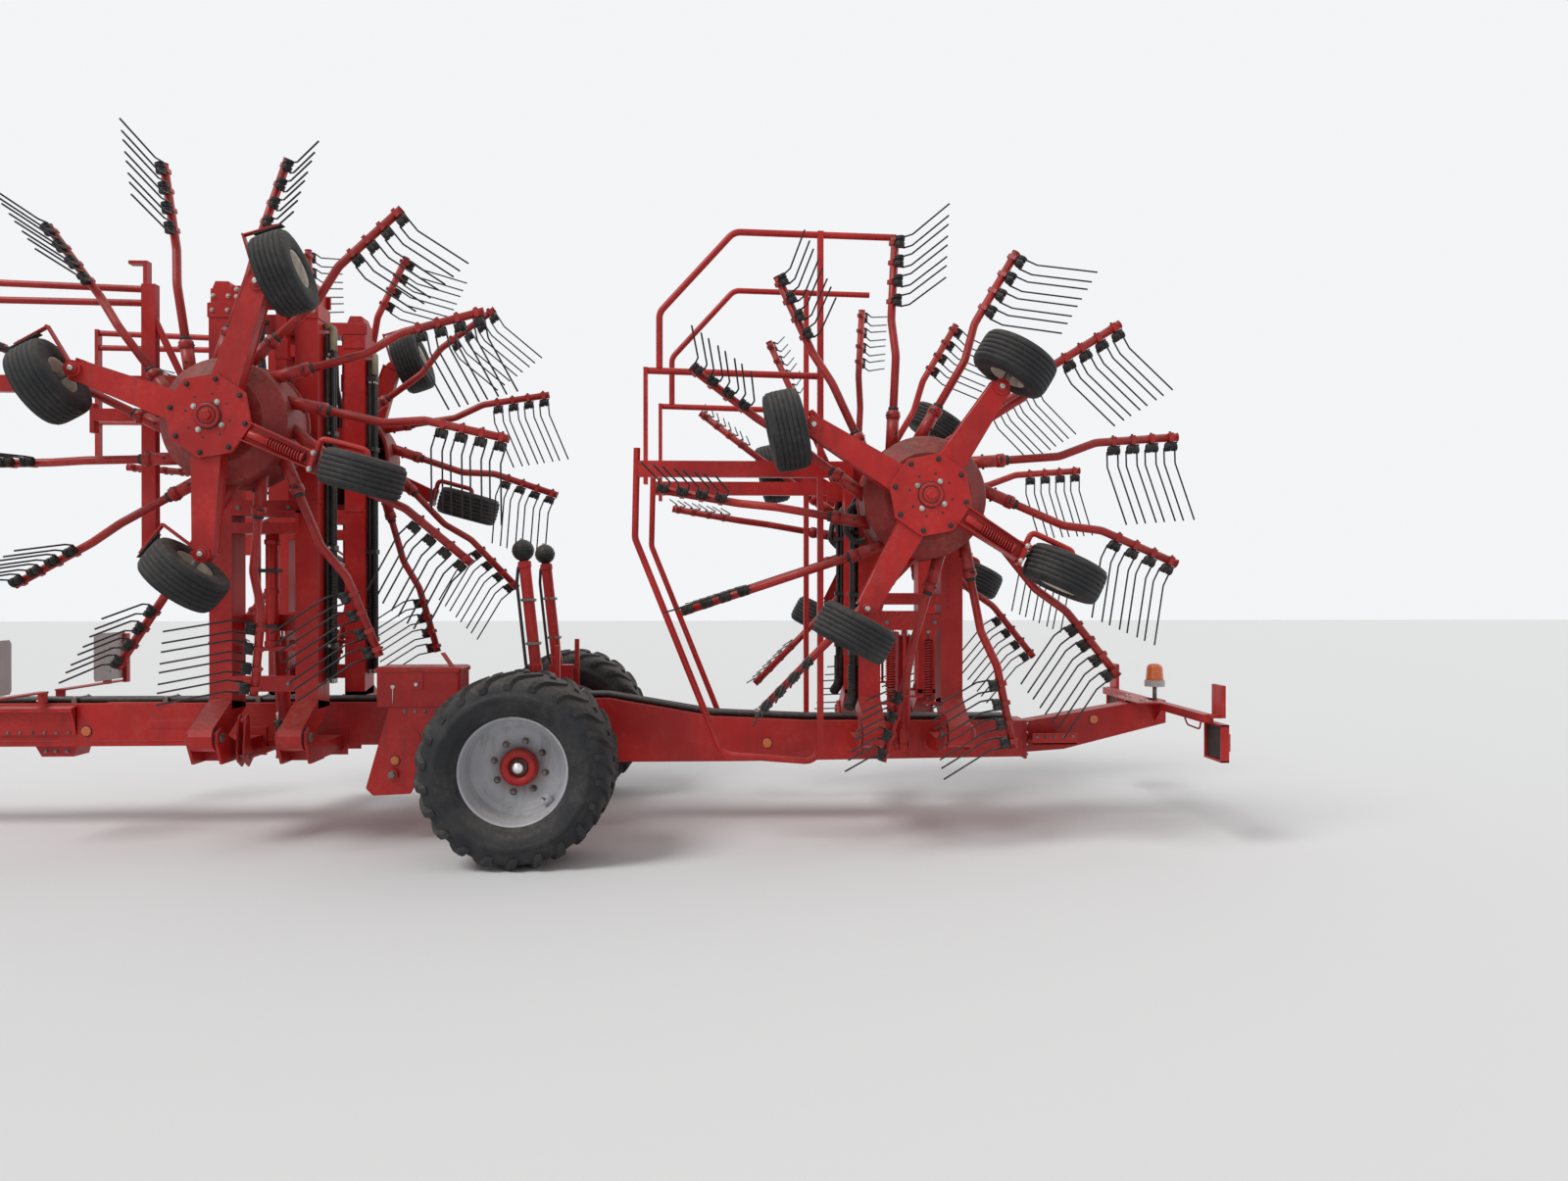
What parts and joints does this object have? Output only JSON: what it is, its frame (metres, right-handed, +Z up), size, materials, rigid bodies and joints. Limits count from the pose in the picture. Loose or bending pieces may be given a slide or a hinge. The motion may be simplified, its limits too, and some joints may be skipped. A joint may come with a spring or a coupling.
{
  "type": "rotary rake",
  "caption": "Trailed hay rake with tined rotors on booms folded upright over a long wheeled beam frame.",
  "frame": {"origin": "ground point under the middle of the overall length and width", "axes": "+X forward along the drawbar, +Y to the machine's left, +Z up"},
  "size_m": [10.1, 2.99, 4.0545],
  "materials": {
    "frame_red": "weathered gloss paint",
    "reel_red": "weathered gloss paint",
    "toolbox_red": "gloss paint",
    "cylinder_red": "gloss paint",
    "rim_grey": "satin paint",
    "stand_steel": "satin paint",
    "rod_chrome": "polished",
    "tyre": "matt rubber",
    "small_wheel": "matt rubber",
    "hose": "matt rubber",
    "lamp_red": "gloss",
    "lamp_amber": "gloss",
    "board": "satin"
  },
  "bodies": {
    "chassis": {"chassis_beam": "frame_red", "headstock": "frame_red", "parking_stand": "stand_steel", "carriage": "frame_red", "tail_frame": "frame_red", "tail_lights": "lamp_red", "beacon": "lamp_amber", "front_boards": "board", "toolbox": "toolbox_red", "accumulators": "cylinder_red", "beam_hoses": "hose"},
    "road_wheel_left": {"tyre_left": "tyre", "rim_left": "rim_grey"},
    "road_wheel_right": {"tyre_right": "tyre", "rim_right": "rim_grey"},
    "boom_front_left": {"boom_front_left": "frame_red", "boom_hoses_front_left": "hose"},
    "telescope_left": {"telescope_left": "frame_red", "rotor_frame_front_left": "frame_red", "guard_front_left": "frame_red"},
    "fold_barrel_front_left": {"fold_barrel_front_left": "frame_red"},
    "fold_rod_front_left": {"fold_rod_front_left": "rod_chrome"},
    "reel_front_left": {"reel_front_left": "reel_red"},
    "rotor_wheel_front_left_a": {"rotor_wheel_front_left_a": "small_wheel"},
    "rotor_wheel_front_left_b": {"rotor_wheel_front_left_b": "small_wheel"},
    "rotor_wheel_front_left_c": {"rotor_wheel_front_left_c": "small_wheel"},
    "rotor_wheel_front_left_d": {"rotor_wheel_front_left_d": "small_wheel"},
    "boom_front_right": {"boom_front_right": "frame_red", "boom_hoses_front_right": "hose"},
    "telescope_right": {"telescope_right": "frame_red", "rotor_frame_front_right": "frame_red", "guard_front_right": "frame_red"},
    "fold_barrel_front_right": {"fold_barrel_front_right": "frame_red"},
    "fold_rod_front_right": {"fold_rod_front_right": "rod_chrome"},
    "reel_front_right": {"reel_front_right": "reel_red"},
    "rotor_wheel_front_right_a": {"rotor_wheel_front_right_a": "small_wheel"},
    "rotor_wheel_front_right_b": {"rotor_wheel_front_right_b": "small_wheel"},
    "rotor_wheel_front_right_c": {"rotor_wheel_front_right_c": "small_wheel"},
    "rotor_wheel_front_right_d": {"rotor_wheel_front_right_d": "small_wheel"},
    "boom_rear_left": {"boom_rear_left": "frame_red", "rotor_frame_rear_left": "frame_red", "guard_rear_left": "frame_red"},
    "fold_barrel_rear_left": {"fold_barrel_rear_left": "frame_red"},
    "fold_rod_rear_left": {"fold_rod_rear_left": "rod_chrome"},
    "reel_rear_left": {"reel_rear_left": "reel_red"},
    "rotor_wheel_rear_left_a": {"rotor_wheel_rear_left_a": "small_wheel"},
    "rotor_wheel_rear_left_b": {"rotor_wheel_rear_left_b": "small_wheel"},
    "rotor_wheel_rear_left_c": {"rotor_wheel_rear_left_c": "small_wheel"},
    "rotor_wheel_rear_left_d": {"rotor_wheel_rear_left_d": "small_wheel"},
    "boom_rear_right": {"boom_rear_right": "frame_red", "rotor_frame_rear_right": "frame_red", "guard_rear_right": "frame_red"},
    "fold_barrel_rear_right": {"fold_barrel_rear_right": "frame_red"},
    "fold_rod_rear_right": {"fold_rod_rear_right": "rod_chrome"},
    "reel_rear_right": {"reel_rear_right": "reel_red"},
    "rotor_wheel_rear_right_a": {"rotor_wheel_rear_right_a": "small_wheel"},
    "rotor_wheel_rear_right_b": {"rotor_wheel_rear_right_b": "small_wheel"},
    "rotor_wheel_rear_right_c": {"rotor_wheel_rear_right_c": "small_wheel"},
    "rotor_wheel_rear_right_d": {"rotor_wheel_rear_right_d": "small_wheel"}
  },
  "joints": [
    {"name": "road_wheel_spin_left", "type": "hinge", "parent": "chassis", "child": "road_wheel_left", "pos_m": [-0.95, 1.095, 0.535], "axis": [0, 1, 0], "continuous": true},
    {"name": "road_wheel_spin_right", "type": "hinge", "parent": "chassis", "child": "road_wheel_right", "pos_m": [-0.95, -1.095, 0.535], "axis": [0, 1, 0], "continuous": true},
    {"name": "fold_front_left", "type": "hinge", "parent": "chassis", "child": "boom_front_left", "pos_m": [0.68, 0.755, 0.66], "axis": [-1, 0, 0], "range_deg": [0, 83]},
    {"name": "telescope_slide_left", "type": "slide", "parent": "boom_front_left", "child": "telescope_left", "axis": [0, 0, 1], "range_m": [0, 1.9]},
    {"name": "barrel_swing_front_left", "type": "hinge", "parent": "chassis", "child": "fold_barrel_front_left", "pos_m": [0.68, 0.215, 0.52], "axis": [-1, 0, 0], "range_deg": [0, 53.73]},
    {"name": "rod_slide_front_left", "type": "slide", "parent": "fold_barrel_front_left", "child": "fold_rod_front_left", "axis": [0, 0.0957, 0.9954], "range_m": [0, 0.5292]},
    {"name": "reel_spin_front_left", "type": "hinge", "parent": "telescope_left", "child": "reel_front_left", "pos_m": [0.68, 0.98, 2.463], "axis": [0, 1, 0], "continuous": true},
    {"name": "rotor_wheel_front_left_a_spin", "type": "hinge", "parent": "telescope_left", "child": "rotor_wheel_front_left_a", "pos_m": [1.53099, 1.27, 2.64388], "axis": [-0.8829, 0, 0.4695], "continuous": true},
    {"name": "rotor_wheel_front_left_b_spin", "type": "hinge", "parent": "telescope_left", "child": "rotor_wheel_front_left_b", "pos_m": [0.28503, 1.27, 3.23818], "axis": [-0.9455, 0, 0.3256], "continuous": true},
    {"name": "rotor_wheel_front_left_c_spin", "type": "hinge", "parent": "telescope_left", "child": "rotor_wheel_front_left_c", "pos_m": [0.8161, 1.27, 1.60371], "axis": [-0.6428, 0, 0.766], "continuous": true},
    {"name": "rotor_wheel_front_left_d_spin", "type": "hinge", "parent": "telescope_left", "child": "rotor_wheel_front_left_d", "pos_m": [-0.13221, 1.27, 2.15122], "axis": [-0.2588, 0, 0.9659], "continuous": true},
    {"name": "fold_front_right", "type": "hinge", "parent": "chassis", "child": "boom_front_right", "pos_m": [0.68, -0.755, 0.66], "axis": [1, 0, 0], "range_deg": [0, 83]},
    {"name": "telescope_slide_right", "type": "slide", "parent": "boom_front_right", "child": "telescope_right", "axis": [0, 0, 1], "range_m": [0, 1.9]},
    {"name": "barrel_swing_front_right", "type": "hinge", "parent": "chassis", "child": "fold_barrel_front_right", "pos_m": [0.68, -0.215, 0.52], "axis": [1, 0, 0], "range_deg": [0, 53.73]},
    {"name": "rod_slide_front_right", "type": "slide", "parent": "fold_barrel_front_right", "child": "fold_rod_front_right", "axis": [0, -0.0957, 0.9954], "range_m": [0, 0.5292]},
    {"name": "reel_spin_front_right", "type": "hinge", "parent": "telescope_right", "child": "reel_front_right", "pos_m": [0.68, -0.98, 2.463], "axis": [0, 1, 0], "continuous": true},
    {"name": "rotor_wheel_front_right_a_spin", "type": "hinge", "parent": "telescope_right", "child": "rotor_wheel_front_right_a", "pos_m": [1.53099, -1.27, 2.64388], "axis": [-0.8829, 0, 0.4695], "continuous": true},
    {"name": "rotor_wheel_front_right_b_spin", "type": "hinge", "parent": "telescope_right", "child": "rotor_wheel_front_right_b", "pos_m": [0.28503, -1.27, 3.23818], "axis": [-0.9455, 0, 0.3256], "continuous": true},
    {"name": "rotor_wheel_front_right_c_spin", "type": "hinge", "parent": "telescope_right", "child": "rotor_wheel_front_right_c", "pos_m": [0.8161, -1.27, 1.60371], "axis": [-0.6428, 0, 0.766], "continuous": true},
    {"name": "rotor_wheel_front_right_d_spin", "type": "hinge", "parent": "telescope_right", "child": "rotor_wheel_front_right_d", "pos_m": [-0.13221, -1.27, 2.15122], "axis": [-0.2588, 0, 0.9659], "continuous": true},
    {"name": "fold_rear_left", "type": "hinge", "parent": "chassis", "child": "boom_rear_left", "pos_m": [-3.237, 0.755, 0.66], "axis": [-1, 0, 0], "range_deg": [0, 83]},
    {"name": "barrel_swing_rear_left", "type": "hinge", "parent": "chassis", "child": "fold_barrel_rear_left", "pos_m": [-3.237, 0.215, 0.52], "axis": [-1, 0, 0], "range_deg": [0, 53.73]},
    {"name": "rod_slide_rear_left", "type": "slide", "parent": "fold_barrel_rear_left", "child": "fold_rod_rear_left", "axis": [0, 0.0957, 0.9954], "range_m": [0, 0.5292]},
    {"name": "reel_spin_rear_left", "type": "hinge", "parent": "boom_rear_left", "child": "reel_rear_left", "pos_m": [-3.237, 0.98, 2.05], "axis": [0, 1, 0], "continuous": true},
    {"name": "rotor_wheel_rear_left_a_spin", "type": "hinge", "parent": "boom_rear_left", "child": "rotor_wheel_rear_left_a", "pos_m": [-2.44222, 1.27, 2.40386], "axis": [-0.9781, 0, 0.2079], "continuous": true},
    {"name": "rotor_wheel_rear_left_b_spin", "type": "hinge", "parent": "boom_rear_left", "child": "rotor_wheel_rear_left_b", "pos_m": [-3.71084, 1.27, 2.77964], "axis": [-0.515, 0, 0.8572], "continuous": true},
    {"name": "rotor_wheel_rear_left_c_spin", "type": "hinge", "parent": "boom_rear_left", "child": "rotor_wheel_rear_left_c", "pos_m": [-2.81522, 1.27, 1.28908], "axis": [-0.4695, 0, 0.8829], "continuous": true},
    {"name": "rotor_wheel_rear_left_d_spin", "type": "hinge", "parent": "boom_rear_left", "child": "rotor_wheel_rear_left_d", "pos_m": [-3.99044, 1.27, 1.615], "axis": [-0.4226, 0, 0.9063], "continuous": true},
    {"name": "fold_rear_right", "type": "hinge", "parent": "chassis", "child": "boom_rear_right", "pos_m": [-3.237, -0.755, 0.66], "axis": [1, 0, 0], "range_deg": [0, 83]},
    {"name": "barrel_swing_rear_right", "type": "hinge", "parent": "chassis", "child": "fold_barrel_rear_right", "pos_m": [-3.237, -0.215, 0.52], "axis": [1, 0, 0], "range_deg": [0, 53.73]},
    {"name": "rod_slide_rear_right", "type": "slide", "parent": "fold_barrel_rear_right", "child": "fold_rod_rear_right", "axis": [0, -0.0957, 0.9954], "range_m": [0, 0.5292]},
    {"name": "reel_spin_rear_right", "type": "hinge", "parent": "boom_rear_right", "child": "reel_rear_right", "pos_m": [-3.237, -0.98, 2.05], "axis": [0, 1, 0], "continuous": true},
    {"name": "rotor_wheel_rear_right_a_spin", "type": "hinge", "parent": "boom_rear_right", "child": "rotor_wheel_rear_right_a", "pos_m": [-2.44222, -1.27, 2.40386], "axis": [-0.9781, 0, 0.2079], "continuous": true},
    {"name": "rotor_wheel_rear_right_b_spin", "type": "hinge", "parent": "boom_rear_right", "child": "rotor_wheel_rear_right_b", "pos_m": [-3.71084, -1.27, 2.77964], "axis": [-0.515, 0, 0.8572], "continuous": true},
    {"name": "rotor_wheel_rear_right_c_spin", "type": "hinge", "parent": "boom_rear_right", "child": "rotor_wheel_rear_right_c", "pos_m": [-2.81522, -1.27, 1.28908], "axis": [-0.4695, 0, 0.8829], "continuous": true},
    {"name": "rotor_wheel_rear_right_d_spin", "type": "hinge", "parent": "boom_rear_right", "child": "rotor_wheel_rear_right_d", "pos_m": [-3.99044, -1.27, 1.615], "axis": [-0.4226, 0, 0.9063], "continuous": true}
  ],
  "couplings": [
    {"joint": "barrel_swing_front_left", "follows": "fold_front_left", "ratio": 0.64131},
    {"joint": "rod_slide_front_left", "follows": "fold_front_left", "m_per_rad": 0.36255},
    {"joint": "barrel_swing_front_right", "follows": "fold_front_right", "ratio": 0.64131},
    {"joint": "rod_slide_front_right", "follows": "fold_front_right", "m_per_rad": 0.36255},
    {"joint": "barrel_swing_rear_left", "follows": "fold_rear_left", "ratio": 0.64131},
    {"joint": "rod_slide_rear_left", "follows": "fold_rear_left", "m_per_rad": 0.36255},
    {"joint": "barrel_swing_rear_right", "follows": "fold_rear_right", "ratio": 0.64131},
    {"joint": "rod_slide_rear_right", "follows": "fold_rear_right", "m_per_rad": 0.36255}
  ]
}
